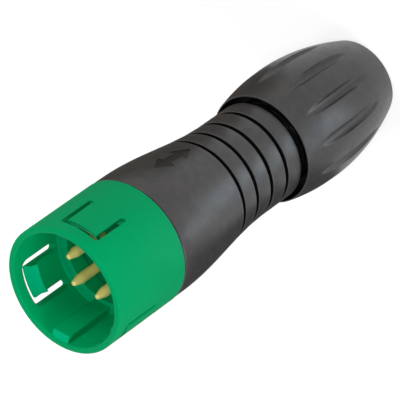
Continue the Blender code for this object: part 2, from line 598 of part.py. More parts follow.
def clamping_nut():
    """The pressing nut: open pocket at the neck, threaded bore, clamping cone and cable hole."""
    heights = [NUT_LENGTH * step / BARREL_STEPS for step in reversed(range(1, BARREL_STEPS))]
    outside = [(nut_radius(height), height, 0) for height in heights]
    cone_tip = FINGER_TIP_RADIUS + THREAD_CLEARANCE
    cone_root = CAGE_FLANGE_RADIUS + THREAD_CLEARANCE
    pocket_radius = NUT_LIP_RADIUS - NUT_LIP_THICKNESS
    corners = [
        (pocket_radius, NUT_FRONT, 0), (NUT_LIP_RADIUS, NUT_FRONT, NUT_LIP_EDGE),
        *outside,
        (NUT_END_RADIUS, 0, NUT_END_EDGE), (CABLE_HOLE_RADIUS, 0, CABLE_HOLE_EDGE),
        (CABLE_HOLE_RADIUS, NUT_FLOOR, 0), (cone_tip, FINGER_TIP, 0), (cone_root, CAGE_FLANGE_BASE, 0),
        (NUT_THREAD_RADIUS, CAGE_FLANGE_TOP, 0),
        (NUT_THREAD_RADIUS, NUT_FRONT - NUT_POCKET_DEPTH, 0), (pocket_radius, NUT_FRONT - NUT_POCKET_DEPTH, 0),
    ]
    nut = turned("clamping_nut", rounded(corners), TURN_STEPS)

    # Each flute is a straight round groove, so the barrel's curve gives it pointed ends
    middle_radius = nut_radius(FLUTE_HEIGHT) - FLUTE_DEPTH + FLUTE_CUTTER_RADIUS
    for index in range(FLUTE_COUNT):
        direction = FIRST_TONGUE + FLUTE_PHASE + index * 2 * pi / FLUTE_COUNT
        frame = (Matrix.Rotation(direction, 4, 'Z') @ Matrix.Translation((middle_radius, 0, FLUTE_HEIGHT))
                 @ Matrix.Rotation(FLUTE_TILT, 4, 'Y'))
        combine(nut, rod(f"flute_{index + 1}", FLUTE_CUTTER_RADIUS, NUT_LENGTH, frame, FLUTE_STEPS))
    return settle(nut, BLACK_PLASTIC)


latch_sleeve()
contact_insert()
for pin_index, pin_direction in enumerate(pin_directions()):
    contact_pin(pin_index, pin_direction)
insert_spacer()
sleeve_seal_ring()
housing()
cable_seal()
clamp_cage()
clamping_nut()
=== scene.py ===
import json
from math import atan2, cos, hypot, pi, radians, sin, sqrt

import bmesh
import bpy
from mathutils import Matrix, Vector

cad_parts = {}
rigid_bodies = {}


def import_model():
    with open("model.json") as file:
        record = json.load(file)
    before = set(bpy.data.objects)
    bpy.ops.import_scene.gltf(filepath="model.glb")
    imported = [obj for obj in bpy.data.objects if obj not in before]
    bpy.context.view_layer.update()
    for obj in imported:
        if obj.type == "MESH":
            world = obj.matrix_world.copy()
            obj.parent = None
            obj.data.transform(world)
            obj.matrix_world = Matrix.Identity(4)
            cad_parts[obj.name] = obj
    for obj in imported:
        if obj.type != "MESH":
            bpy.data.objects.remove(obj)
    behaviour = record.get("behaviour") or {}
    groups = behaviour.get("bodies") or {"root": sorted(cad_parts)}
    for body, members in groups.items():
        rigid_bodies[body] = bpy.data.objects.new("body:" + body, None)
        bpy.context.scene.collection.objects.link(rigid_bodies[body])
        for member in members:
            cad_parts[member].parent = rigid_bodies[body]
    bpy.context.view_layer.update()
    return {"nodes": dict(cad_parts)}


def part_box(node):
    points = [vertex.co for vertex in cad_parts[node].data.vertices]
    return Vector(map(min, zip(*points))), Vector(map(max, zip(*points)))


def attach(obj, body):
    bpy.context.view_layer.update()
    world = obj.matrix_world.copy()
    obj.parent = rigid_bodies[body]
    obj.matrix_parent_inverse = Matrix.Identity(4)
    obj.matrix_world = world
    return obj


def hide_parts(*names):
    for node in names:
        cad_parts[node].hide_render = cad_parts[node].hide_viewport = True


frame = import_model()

mm = 0.001
print("frame loaded:", len(frame["nodes"]), "nodes")

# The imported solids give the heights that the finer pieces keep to
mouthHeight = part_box("latch_sleeve")[1].z
sleeveTailEnd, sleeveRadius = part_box("latch_sleeve")[0].z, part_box("latch_sleeve")[1].x
housingTailEnd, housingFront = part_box("housing")[0].z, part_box("housing")[1].z
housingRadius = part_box("housing")[1].x
insertRear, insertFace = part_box("contact_insert")[0].z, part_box("contact_insert")[1].z
cupEnd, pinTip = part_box("contact_pin_1")[0].z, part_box("contact_pin_1")[1].z
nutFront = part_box("clamping_nut")[1].z
cageLow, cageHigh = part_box("clamp_cage")
sealLow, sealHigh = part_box("cable_seal")

for oldObject in [item for item in bpy.data.objects if item.name in ("Cube", "Light", "Camera")]:
    bpy.data.objects.remove(oldObject)

# Meshes

meshing = {
    "roundSteps": 4,            # steps in each rounded corner of a turned profile
    "smoothAngle": radians(32),
    "weldDistance": 1e-7,
    "wrapCut": 0.35 * mm,       # width of the strips in which a flat tool is wrapped around a round side
    "attempts": 4, "boxTolerance": 0.01 * mm,
}


def spaced(first, last, count):            # evenly spaced values between two ends, both left out
    return [first + (last - first) * step / count for step in range(1, count)]


def pieceFrom(bm, name):
    bmesh.ops.remove_doubles(bm, verts=bm.verts, dist=meshing["weldDistance"])
    bmesh.ops.recalc_face_normals(bm, faces=bm.faces)
    mesh = bpy.data.meshes.new(name)
    bm.to_mesh(mesh)
    bm.free()
    smoothMesh(mesh)
    piece = bpy.data.objects.new(name, mesh)
    bpy.context.scene.collection.objects.link(piece)
    return piece


def smoothMesh(mesh):
    mesh.shade_smooth()
    mesh.set_sharp_from_angle(angle=meshing["smoothAngle"])


def flatFace(bm, corners, steps=None):     # corners are (x, y, rounding), as seen in the XY plane
    verts = [bm.verts.new((x, y, 0)) for x, y, rounding in corners]
    face = bm.faces.new(verts)
    for size in sorted({rounding for x, y, rounding in corners if rounding}):
        group = [vert for vert, corner in zip(verts, corners) if corner[2] == size]
        bmesh.ops.bevel(bm, geom=group, offset=size, offset_type='OFFSET', segments=steps or meshing["roundSteps"],
                        profile=0.5, affect='VERTICES', clamp_overlap=False, material=-1)
    return bm.faces[:][0]


def lathe(corners, segments):              # corners are (radius, height, rounding) around the section
    bm = bmesh.new()
    flatFace(bm, corners)
    bmesh.ops.delete(bm, geom=bm.faces[:], context='FACES_ONLY')
    onAxis = [edge for edge in bm.edges if max(vert.co.x for vert in edge.verts) < meshing["weldDistance"]]
    bmesh.ops.delete(bm, geom=onAxis, context='EDGES')
    bmesh.ops.rotate(bm, verts=bm.verts, cent=(0, 0, 0), matrix=Matrix.Rotation(pi / 2, 3, 'X'))
    bmesh.ops.spin(bm, geom=bm.verts[:] + bm.edges[:], cent=(0, 0, 0), axis=(0, 0, 1), angle=2 * pi,
                   steps=segments, use_merge=True)
    bmesh.ops.remove_doubles(bm, verts=bm.verts, dist=meshing["weldDistance"])
    return bm


def onSide(direction, across, height, radius):   # a point on a round side, with parallel walls
    outward = Vector((cos(direction), sin(direction), 0))
    around = Vector((-sin(direction), cos(direction), 0))
    return outward * sqrt(radius * radius - across * across) + around * across + Vector((0, 0, height))


def outlinePoints(corners):
    bm = bmesh.new()
    face = flatFace(bm, corners)
    points = [(vert.co.x, vert.co.y) for vert in face.verts]
    bm.free()
    return points


def wrappedTool(name, direction, height, radiusAt, layers):   # layers are (outline, radius), from the inside out
    bm = bmesh.new()
    rings = [[bm.verts.new((x, y, radius)) for x, y in outline] for outline, radius in layers]
    for inner, outer in zip(rings, rings[1:]):
        for index in range(len(inner)):
            bm.faces.new((inner[index - 1], inner[index], outer[index], outer[index - 1]))
    bm.faces.new(rings[0])
    bm.faces.new(rings[-1])
    bmesh.ops.triangulate(bm, faces=bm.faces, ngon_method='EAR_CLIP')
    for axis in (Vector((1, 0, 0)), Vector((0, 1, 0))):
        places = [vert.co.dot(axis) for vert in bm.verts]
        strips = round((max(places) - min(places)) / meshing["wrapCut"] / 2) * 2 + 1   # odd, so none meets the middle
        for cut in spaced(min(places), max(places), strips):
            bmesh.ops.bisect_plane(bm, geom=bm.verts[:] + bm.edges[:] + bm.faces[:], plane_co=axis * cut,
                                   plane_no=axis, dist=meshing["weldDistance"])
    for vert in bm.verts:
        place = height + vert.co.y
        vert.co = onSide(direction, vert.co.x, place, radiusAt(place) + vert.co.z)
    return pieceFrom(bm, name)


def boxEnds(mesh):
    return [end((vert.co[axis] for vert in mesh.vertices), default=0.0) for axis in range(3) for end in (min, max)]


def carve(piece, tools, operation='DIFFERENCE'):   # no tool here changes the box of its piece
    for tool in tools:
        modifier = piece.modifiers.new(tool.name, 'BOOLEAN')
        modifier.operation = operation
        modifier.solver = 'EXACT'
        modifier.object = tool
    ends = boxEnds(piece.data)
    for attempt in range(meshing["attempts"]):     # a cut that comes back broken is made again
        piece.update_tag()
        bpy.context.view_layer.update()
        carved = bpy.data.meshes.new_from_object(piece.evaluated_get(bpy.context.evaluated_depsgraph_get()))
        if max(abs(new - old) for new, old in zip(boxEnds(carved), ends)) < meshing["boxTolerance"]:
            break
        print("cut again:", piece.name)
    else:
        raise RuntimeError("a cut failed: " + piece.name)
    piece.modifiers.clear()
    piece.data = carved
    for tool in tools:
        bpy.data.objects.remove(tool)
    smoothMesh(carved)
    return piece


def giveTo(piece, body, node, material):
    piece.data.materials.clear()
    piece.data.materials.append(material)
    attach(piece, body)
    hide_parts(node)
    return piece


# Shader expressions

class Wire:                                # one shader socket; arithmetic on it adds Math nodes
    def __init__(self, tree, socket=None):
        self.tree = tree
        self.socket = socket

    def node(self, kind, settings=None, values=None, output=0):
        made = self.tree.nodes.new(kind)
        for name, value in (settings or {}).items():
            if name == "stops":
                for element, (place, colour) in zip(made.color_ramp.elements, value):
                    element.position = place
                    element.color = colour
            else:
                setattr(made, name, value)
        for name, value in (values or {}).items():
            if isinstance(value, Wire):
                self.tree.links.new(value.socket, made.inputs[name])
            else:
                made.inputs[name].default_value = value
        return Wire(self.tree, made.outputs[output])

    def calculate(self, operation, first, second):
        return self.node("ShaderNodeMath", {"operation": operation}, {0: first, 1: second})

    def __add__(self, other):
        return self.calculate("ADD", self, other)

    def __radd__(self, other):
        return self.calculate("ADD", other, self)

    def __sub__(self, other):
        return self.calculate("SUBTRACT", self, other)

    def __rsub__(self, other):
        return self.calculate("SUBTRACT", other, self)

    def __mul__(self, other):
        return self.calculate("MULTIPLY", self, other)

    def __rmul__(self, other):
        return self.calculate("MULTIPLY", other, self)


def newMaterial(name):
    material = bpy.data.materials.new(name)
    material.use_nodes = True
    material.node_tree.nodes.clear()
    return material, Wire(material.node_tree)


def endMaterial(wire, surface):
    output = wire.tree.nodes.new("ShaderNodeOutputMaterial")
    wire.tree.links.new(surface.socket, output.inputs["Surface"])


def noise(wire, place, scale, detail=2.0, roughness=0.5):
    return wire.node("ShaderNodeTexNoise", {"noise_dimensions": '3D'},
                     {"Vector": place, "Scale": scale, "Detail": detail, "Roughness": roughness})


def blendColours(wire, factor, first, second):
    return wire.node("ShaderNodeMix", {"data_type": 'RGBA', "clamp_factor": True},
                     {0: factor, 6: first, 7: second}, output=2)


def mouldedPlastic(name, look):
    material, wire = newMaterial(name)
    place = wire.node("ShaderNodeTexCoord", output="Object")
    cloud = noise(wire, place, look["cloudScale"], 3.0)
    grain = noise(wire, place, look["grainScale"], 4.0, 0.6)
    pores = noise(wire, place, look["grainScale"] * 3.1, 2.0)
    patches = (cloud - 0.5) * look["contrast"] + 0.5
    colour = blendColours(wire, patches, (*look["colour"], 1), (*look["colourShift"], 1))
    roughness = look["roughness"] + (cloud - 0.5) * look["roughnessShift"] + (grain - 0.5) * look["roughnessShift"]
    relief = grain * 0.7 + pores * 0.3
    normal = wire.node("ShaderNodeBump", values={"Strength": look["grainStrength"], "Distance": look["grainDepth"],
                                                 "Height": relief})
    surface = wire.node("ShaderNodeBsdfPrincipled", values={
        "Base Color": colour, "Roughness": roughness, "Specular IOR Level": look["specular"],
        "Specular Tint": (*look["sheen"], 1), "Normal": normal})
    endMaterial(wire, surface)
    return material


greenLook = {
    "colour": (0.0, 0.345, 0.118), "colourShift": (0.0, 0.33, 0.112), "cloudScale": 160, "contrast": 2.0,
    "roughness": 0.55, "roughnessShift": 0.06, "specular": 0.15, "sheen": (0.0, 0.85, 1.0),
    "grainScale": 6500, "grainStrength": 0.35, "grainDepth": 0.006 * mm,
}
# Painted light: a lighter, bluer green for the upward ledge and ramps in the socket; its lower roughness is real gloss
seatGlossAndPaintedLightLook = {**greenLook, "colour": (0.0, 0.43, 0.19), "colourShift": (0.0, 0.41, 0.18), "roughness": 0.4}
insertLook = {**greenLook, "colour": (0.0, 0.21, 0.08), "colourShift": (0.0, 0.195, 0.075), "roughness": 0.5}
blackLook = {
    "colour": (0.042, 0.038, 0.034), "colourShift": (0.024, 0.023, 0.028), "cloudScale": 900, "contrast": 2.5,
    "roughness": 0.37, "roughnessShift": 0.14, "specular": 0.48, "sheen": (1.0, 1.0, 1.0),
    "grainScale": 5200, "grainStrength": 0.35, "grainDepth": 0.01 * mm,
}
arrowLook = {**blackLook, "colour": (0.017, 0.016, 0.014), "colourShift": (0.012, 0.011, 0.011), "specular": 0.34}
# Painted shade: a near-black, low-gloss copy of the black plastic for grooves, seams, bores and the nut's pocket, where
# little light reaches
recessPaintedShadeLook = {**blackLook, "colour": (0.004, 0.004, 0.004), "colourShift": (0.003, 0.003, 0.003), "specular": 0.06}
clampLook = {**blackLook, "colour": (0.028, 0.028, 0.028), "colourShift": (0.033, 0.033, 0.033), "roughness": 0.55}
rubberLook = {**blackLook, "colour": (0.018, 0.018, 0.018), "colourShift": (0.022, 0.022, 0.022),
              "roughness": 0.75, "specular": 0.3}
goldLook = {
    "colour": (1.0, 0.82, 0.24), "colourShift": (1.0, 0.89, 0.34), "roughness": 0.22, "metallic": 0.15,
    "ringScale": 9000, "ringStrength": 0.05, "ringDepth": 0.001 * mm, "cloudScale": 900,
}


def goldPlating(name, look):               # fine turning marks run around each pin
    material, wire = newMaterial(name)
    place = wire.node("ShaderNodeTexCoord", output="Object")
    cloud = noise(wire, place, look["cloudScale"])
    stretched = wire.node("ShaderNodeMapping", values={"Vector": place, "Scale": (0.02, 0.02, 1.0)})
    rings = noise(wire, stretched, look["ringScale"], 3.0)
    normal = wire.node("ShaderNodeBump", values={"Strength": look["ringStrength"], "Distance": look["ringDepth"],
                                                 "Height": rings})
    surface = wire.node("ShaderNodeBsdfPrincipled", values={
        "Base Color": blendColours(wire, cloud, (*look["colour"], 1), (*look["colourShift"], 1)),
        "Metallic": look["metallic"], "Roughness": look["roughness"] + (rings - 0.5) * 0.04, "Normal": normal})
    endMaterial(wire, surface)
    return material


greenPlastic = mouldedPlastic("greenPlastic", greenLook)
seatPlastic = mouldedPlastic("seatPlastic", seatGlossAndPaintedLightLook)
insertPlastic = mouldedPlastic("insertPlastic", insertLook)
blackPlastic = mouldedPlastic("blackPlastic", blackLook)
arrowPlastic = mouldedPlastic("arrowPlastic", arrowLook)
recessPlastic = mouldedPlastic("recessPlastic", recessPaintedShadeLook)
clampPlastic = mouldedPlastic("clampPlastic", clampLook)
sealRubber = mouldedPlastic("sealRubber", rubberLook)
goldMetal = goldPlating("goldMetal", goldLook)
print("materials made")

# Latch sleeve

firstTongue = radians(-90)
keyDirection = firstTongue + pi

sleeve = {
    "segments": 192,
    "wall": 0.78 * mm, "socketDepth": 7.5 * mm, "ledgeWidth": 1.37 * mm, "ledgeRound": 0.06 * mm, "ledgeFillet": 0.2 * mm,
    "recessDepth": 2.1 * mm, "boreRadius": 6.0 * mm, "tailRadius": 6.9 * mm, "tailRound": 0.15 * mm,
    "shoulder": housingFront + 0.12 * mm, "shoulderRound": 0.08 * mm,
    "rimOutside": 0.2 * mm, "rimInside": 0.16 * mm,
}
tongue = {
    "count": 3, "width": 4.5 * mm, "setback": 1.95 * mm, "length": 4.95 * mm, "slot": 0.62 * mm,
    "outerCorner": 0.6 * mm, "innerCorner": 0.1 * mm, "outerChamfer": 0.03 * mm, "draft": 0.25 * mm, "draftDepth": 0.52 * mm,
}
latchCatch = {"height": 0.6 * mm, "ramp": 0.92 * mm, "land": 0.25 * mm, "tip": 0.15 * mm, "round": 0.16 * mm,
              "proud": 0.05 * mm, "steps": 13}
keyRib = {"width": 2.2 * mm, "height": 0.87 * mm, "setback": 0.15 * mm, "ramp": 0.25 * mm, "round": 0.09 * mm}

socketRadius = sleeveRadius - sleeve["wall"]
recessRadius = socketRadius - sleeve["ledgeWidth"]
ledgeHeight = mouthHeight - sleeve["socketDepth"]
recessFloor = ledgeHeight - sleeve["recessDepth"]
catchTop = mouthHeight - tongue["setback"] - tongue["slot"] / 2
catchFoot = catchTop - latchCatch["ramp"] - latchCatch["land"]


def slotPoints(grow):                      # the U-shaped slot's outline, widened by grow except at the tongue's tip
    reach = (tongue["width"] + tongue["slot"]) / 2 + grow
    inner = (tongue["width"] - tongue["slot"]) / 2 - grow
    tip = -tongue["slot"] / 2
    top = grow - tip
    bottom = -tongue["length"] - grow
    end = top * 0.98
    corner = tongue["outerCorner"] + grow
    root = tongue["innerCorner"]
    return outlinePoints([
        (reach, bottom, end), (reach, top, corner), (-reach, top, corner), (-reach, bottom, end),
        (-inner, bottom, end), (-inner, tip, root), (inner, tip, root), (inner, bottom, end),
    ])


def slotCutter(direction):
    inside = tongue["draft"]
    outside = tongue["outerChamfer"]
    return wrappedTool("slotCutter", direction, mouthHeight - tongue["setback"], lambda height: 0, [
        (slotPoints(inside), socketRadius - latchCatch["height"] - tongue["slot"]),
        (slotPoints(inside), socketRadius), (slotPoints(0), socketRadius + tongue["draftDepth"]),
        (slotPoints(0), sleeveRadius - outside), (slotPoints(2 * outside), sleeveRadius + outside),
    ])


def bentBar(name, corners, direction, spread):   # a section in (radius, height), swept along the round wall
    bm = bmesh.new()
    flatFace(bm, corners)
    bmesh.ops.rotate(bm, verts=bm.verts, cent=(0, 0, 0), matrix=Matrix.Rotation(pi / 2, 3, 'X'))
    bmesh.ops.rotate(bm, verts=bm.verts, cent=(0, 0, 0), matrix=Matrix.Rotation(direction - spread / 2, 3, 'Z'))
    bmesh.ops.spin(bm, geom=bm.verts[:] + bm.edges[:] + bm.faces[:], cent=(0, 0, 0), axis=(0, 0, 1), angle=spread,
                   steps=latchCatch["steps"], use_duplicate=False)
    return pieceFrom(bm, name)


def catchRidge(direction):                 # left a little proud, for the trim below to shape
    proud = latchCatch["proud"]
    crest = socketRadius - latchCatch["height"] - proud
    root = (socketRadius + sleeveRadius) / 2
    return bentBar("catchRidge", [(root, catchTop + proud, 0), (crest, catchTop + proud, 0), (crest, catchFoot, 0),
                                  (root, catchFoot, 0)], direction, tongue["width"] / socketRadius)


def catchTrim(direction):                  # leaves the ramp from the tongue's outer edge to the crest
    proud = latchCatch["proud"]
    crest = socketRadius - latchCatch["height"]
    inner = crest - latchCatch["height"]
    lip = sleeveRadius - latchCatch["tip"]
    return bentBar("catchTrim", [
        (lip, catchTop, 0), (crest, catchTop - latchCatch["ramp"], latchCatch["round"]), (crest, catchFoot - proud, 0),
        (inner, catchFoot - proud, 0), (inner, catchTop + 2 * proud, 0), (lip, catchTop + 2 * proud, 0),
    ], direction, tongue["width"] / socketRadius + 2 * proud / socketRadius)


def keyRidge():
    crest = socketRadius - keyRib["height"]
    root = (socketRadius + sleeveRadius) / 2
    top = mouthHeight - keyRib["setback"]
    foot = ledgeHeight - sleeve["recessDepth"] / 2
    slope = keyRib["ramp"] / keyRib["height"]
    bm = bmesh.new()
    bmesh.ops.create_cube(bm, size=1.0)
    bmesh.ops.scale(bm, verts=bm.verts, vec=(root - crest, keyRib["width"], top - foot))
    bmesh.ops.translate(bm, verts=bm.verts, vec=((root + crest) / 2, 0, (top + foot) / 2))
    for vert in bm.verts:                  # the head slopes from the mouth down to the crest
        if vert.co.z > (top + foot) / 2:
            vert.co.z -= slope * (socketRadius - vert.co.x)
    edges = [edge for edge in bm.edges if all(vert.co.x < (root + crest) / 2 for vert in edge.verts)
             and max(vert.co.z for vert in edge.verts) > (top + foot) / 2]
    bmesh.ops.bevel(bm, geom=edges, offset=keyRib["round"], offset_type='OFFSET', segments=3, profile=0.5,
                    affect='EDGES', clamp_overlap=False, material=-1)
    bmesh.ops.rotate(bm, verts=bm.verts, cent=(0, 0, 0), matrix=Matrix.Rotation(keyDirection, 3, 'Z'))
    return pieceFrom(bm, "keyRidge")


tongueDirections = [firstTongue + index * 2 * pi / tongue["count"] for index in range(tongue["count"])]
latchSleeve = pieceFrom(lathe([
    (socketRadius, mouthHeight, sleeve["rimInside"]), (sleeveRadius, mouthHeight, sleeve["rimOutside"]),
    (sleeveRadius, sleeve["shoulder"], sleeve["shoulderRound"]), (sleeve["tailRadius"], sleeve["shoulder"], 0),
    (sleeve["tailRadius"], sleeveTailEnd, sleeve["tailRound"]), (sleeve["boreRadius"], sleeveTailEnd, 0),
    (sleeve["boreRadius"], recessFloor, 0), (recessRadius, recessFloor, 0),
    (recessRadius, ledgeHeight, sleeve["ledgeRound"]), (socketRadius, ledgeHeight, sleeve["ledgeFillet"]),
], sleeve["segments"]), "latchSleeve")
carve(latchSleeve, [keyRidge()] + [catchRidge(direction) for direction in tongueDirections], 'UNION')
carve(latchSleeve, [catchTrim(direction) for direction in tongueDirections])
carve(latchSleeve, [slotCutter(direction) for direction in tongueDirections])
giveTo(latchSleeve, "plug_body", "latch_sleeve", greenPlastic)
# Second slot: painted light on the upward faces inside the socket
latchSleeve.data.materials.append(seatPlastic)
for face in latchSleeve.data.polygons:     # the upward ledge and ramps get painted light, a lighter bluer green, with a lower roughness
    inside = hypot(face.center.x, face.center.y) < socketRadius - 0.02 * mm
    onRamp = catchFoot < face.center.z < catchTop
    face.material_index = int((inside or onRamp) and face.normal.z > 0.3 and face.center.z > ledgeHeight - 0.1 * mm)
print("latch sleeve:", len(latchSleeve.data.polygons), "faces")

# Contacts and their insert

contact = {
    "count": 5, "segments": 48, "circle": 2.83 * mm, "radius": 0.62 * mm, "taper": 1.25 * mm, "tipRadius": 0.28 * mm,
    "tipRound": 0.12 * mm, "taperRound": 0.05 * mm, "collarRadius": 0.92 * mm, "collarLength": 1.2 * mm,
    "cupRadius": 0.84 * mm, "cupWall": 0.22 * mm, "cupDepth": 2.6 * mm, "scoop": 2.1 * mm, "edge": 0.05 * mm,
    "seatGap": 0.05 * mm,
}
insert = {"radius": 5.95 * mm, "edge": 0.15 * mm, "holeGap": 0.05 * mm, "countersink": 0.16 * mm, "segments": 128}

pinDirections = [firstTongue + index * 2 * pi / contact["count"] for index in range(contact["count"])]


def atPin(piece, direction):
    piece.data.transform(Matrix.Rotation(direction, 4, 'Z') @ Matrix.Translation((contact["circle"], 0, 0)))
    return piece


def contactPin(name, direction):
    collarTop = insertRear + contact["collarLength"] - contact["seatGap"]
    cupBore = contact["cupRadius"] - contact["cupWall"]
    edge = contact["edge"]
    pin = pieceFrom(lathe([
        (0, pinTip, 0), (contact["tipRadius"], pinTip, contact["tipRound"]),
        (contact["radius"], pinTip - contact["taper"], contact["taperRound"]), (contact["radius"], collarTop, 0),
        (contact["collarRadius"], collarTop, edge), (contact["collarRadius"], insertRear, edge),
        (contact["cupRadius"], insertRear, 0), (contact["cupRadius"], cupEnd, edge), (cupBore, cupEnd, edge),
        (cupBore, cupEnd + contact["cupDepth"], 0), (0, cupEnd + contact["cupDepth"], 0),
    ], contact["segments"]), name)
    bm = bmesh.new()
    bmesh.ops.create_cube(bm, size=1.0)
    bmesh.ops.scale(bm, verts=bm.verts, vec=(contact["cupRadius"], 2 * contact["cupRadius"], 2 * contact["scoop"]))
    bmesh.ops.translate(bm, verts=bm.verts, vec=(contact["cupRadius"], 0, cupEnd))
    carve(pin, [pieceFrom(bm, "cupScoop")])
    return atPin(pin, direction)


def pinHole(direction):
    hole = contact["radius"] + insert["holeGap"]
    seat = contact["collarRadius"] + insert["holeGap"]
    seatTop = insertRear + contact["collarLength"]
    flare = insert["countersink"]
    return atPin(pieceFrom(lathe([
        (0, insertFace + flare, 0), (hole + 2 * flare, insertFace + flare, 0), (hole, insertFace - flare, 0),
        (hole, seatTop, 0), (seat, seatTop, 0), (seat, insertRear - contact["seatGap"], 0),
        (0, insertRear - contact["seatGap"], 0),
    ], contact["segments"]), "pinHole"), direction)


contactInsert = pieceFrom(lathe([
    (0, insertFace, 0), (insert["radius"], insertFace, insert["edge"]), (insert["radius"], insertRear, insert["edge"]),
    (0, insertRear, 0),
], insert["segments"]), "contactInsert")
carve(contactInsert, [pinHole(direction) for direction in pinDirections])
giveTo(contactInsert, "plug_body", "contact_insert", insertPlastic)
for pinIndex, pinDirection in enumerate(pinDirections):
    pinName = f"contactPin{pinIndex + 1}"
    giveTo(contactPin(pinName, pinDirection), "plug_body", f"contact_pin_{pinIndex + 1}", goldMetal)
print("insert and pins made")

# Housing

housing = {
    "segments": 192, "frontRound": 0.2 * mm, "boreRadius": 6.95 * mm, "neckRadius": 6.12 * mm,
    "shoulderStart": 1.8 * mm, "shoulderLength": 16.7 * mm, "shoulderRows": 22,
    "grooves": 4, "groovePitch": 2.85 * mm, "grooveInset": 2.55 * mm, "grooveWidth": 0.56 * mm,
    "grooveDepth": 0.55 * mm, "bandRound": 0.1 * mm, "grooveRound": 0.05 * mm,
    "neckEnd": nutFront + 0.6 * mm, "spacerStep": sleeveTailEnd - 0.94 * mm,
    "wireRadius": 4.7 * mm, "wireConeInset": 4.5 * mm, "wireConeLength": 4.5 * mm, "spacerBore": 5.2 * mm,
    "stopRadius": 3.7 * mm, "stopThickness": 1.0 * mm, "stopChamfer": 0.7 * mm, "tailBore": 4.25 * mm,
}
thread = {"radius": 5.2 * mm, "depth": 0.45 * mm, "pitch": 1.0 * mm, "rowsPerPitch": 12, "runOut": 0.5 * mm,
          "nutGap": 0.12 * mm, "nutDepth": 0.4 * mm}
arrow = {
    "direction": radians(-83.5), "height": mouthHeight - 19.25 * mm, "length": 6.5 * mm, "headLength": 2.2 * mm,
    "headWidth": 2.5 * mm, "shaft": 1.0 * mm, "depth": 0.07 * mm,
}


def barrelRadius(height):                  # straight, then a smooth half-wave down to the neck
    share = (housingFront - height - housing["shoulderStart"]) / housing["shoulderLength"]
    share = max(0.0, min(1.0, share))
    return housing["neckRadius"] + (housingRadius - housing["neckRadius"]) * (1 + cos(pi * share)) / 2


def ridge(height, angle):                  # 1 on the crest of a right-hand thread and 0 in its root
    turn = height / thread["pitch"] - angle / (2 * pi)
    wave = 0.5 + 0.5 * cos(2 * pi * turn)
    return min(1.0, max(0.0, 1.5 * wave - 0.25))


def arrowCutter():
    tip = arrow["length"] / 2
    neck = tip - arrow["headLength"]
    wide = arrow["headWidth"] / 2
    shaft = arrow["shaft"] / 2
    outline = [(0, tip), (wide, neck), (shaft, neck), (shaft, -neck), (wide, -neck), (0, -tip),
               (-wide, -neck), (-shaft, -neck), (-shaft, neck), (-wide, neck)]
    return wrappedTool("arrowCutter", arrow["direction"], arrow["height"], barrelRadius,
                       [(outline, -arrow["depth"]), (outline, arrow["depth"])])


grooveHeights = [housing["neckEnd"] + housing["grooveInset"] + index * housing["groovePitch"]
                 for index in reversed(range(housing["grooves"]))]
shoulderTop = housingFront - housing["shoulderStart"]
shoulderFoot = grooveHeights[0] + housing["grooveWidth"] / 2
housingSection = [(housing["boreRadius"], housingFront, 0), (housingRadius, housingFront, housing["frontRound"]),
                  (housingRadius, shoulderTop, 0)]
housingSection += [(barrelRadius(height), height, 0)
                   for height in spaced(shoulderTop, shoulderFoot, housing["shoulderRows"])]
for groove in grooveHeights:
    upper = groove + housing["grooveWidth"] / 2
    lower = groove - housing["grooveWidth"] / 2
    floor = barrelRadius(groove) - housing["grooveDepth"]
    housingSection += [(barrelRadius(upper), upper, housing["bandRound"]), (floor, upper, housing["grooveRound"]),
                       (floor, lower, housing["grooveRound"]), (barrelRadius(lower), lower, housing["bandRound"])]
threadTop = housing["neckEnd"] - thread["runOut"]
threadFoot = housingTailEnd + thread["runOut"]
threadRows = round((threadTop - threadFoot) / thread["pitch"] * thread["rowsPerPitch"])
rootRadius = thread["radius"] - thread["depth"]
wireConeTop = housing["spacerStep"] - housing["wireConeInset"]
housingSection += [(housing["neckRadius"], housing["neckEnd"], housing["bandRound"]), (rootRadius, housing["neckEnd"], 0)]
housingSection += [(rootRadius, height, 0) for height in [threadTop, *spaced(threadTop, threadFoot, threadRows), threadFoot]]
housingSection += [
    (rootRadius, housingTailEnd, 0.1 * mm), (housing["tailBore"], housingTailEnd, 0),
    (housing["tailBore"], sealHigh.z + 0.05 * mm, 0), (housing["stopRadius"], sealHigh.z + 0.05 * mm, 0),
    (housing["stopRadius"], sealHigh.z + 0.05 * mm + housing["stopThickness"], 0),
    (housing["wireRadius"], sealHigh.z + 0.05 * mm + housing["stopThickness"] + housing["stopChamfer"], 0),
    (housing["wireRadius"], wireConeTop - housing["wireConeLength"], 0), (housing["spacerBore"], wireConeTop, 0),
    (housing["spacerBore"], housing["spacerStep"], 0), (housing["boreRadius"], housing["spacerStep"], 0),
]
housingMesh = lathe(housingSection, housing["segments"])
for vert in housingMesh.verts:
    radius = hypot(vert.co.x, vert.co.y)
    if abs(radius - rootRadius) < 1e-6 and threadFoot - 1e-6 < vert.co.z < threadTop + 1e-6:
        fade = min(1.0, (threadTop - vert.co.z) / thread["pitch"] * 2, (vert.co.z - threadFoot) / thread["pitch"] * 2)
        grow = 1 + thread["depth"] * max(0.0, fade) * ridge(vert.co.z, atan2(vert.co.y, vert.co.x)) / radius
        vert.co.x *= grow
        vert.co.y *= grow
plugHousing = pieceFrom(housingMesh, "plugHousing")
carve(plugHousing, [arrowCutter()])
giveTo(plugHousing, "plug_body", "housing", blackPlastic)
plugHousing.data.materials.append(arrowPlastic)
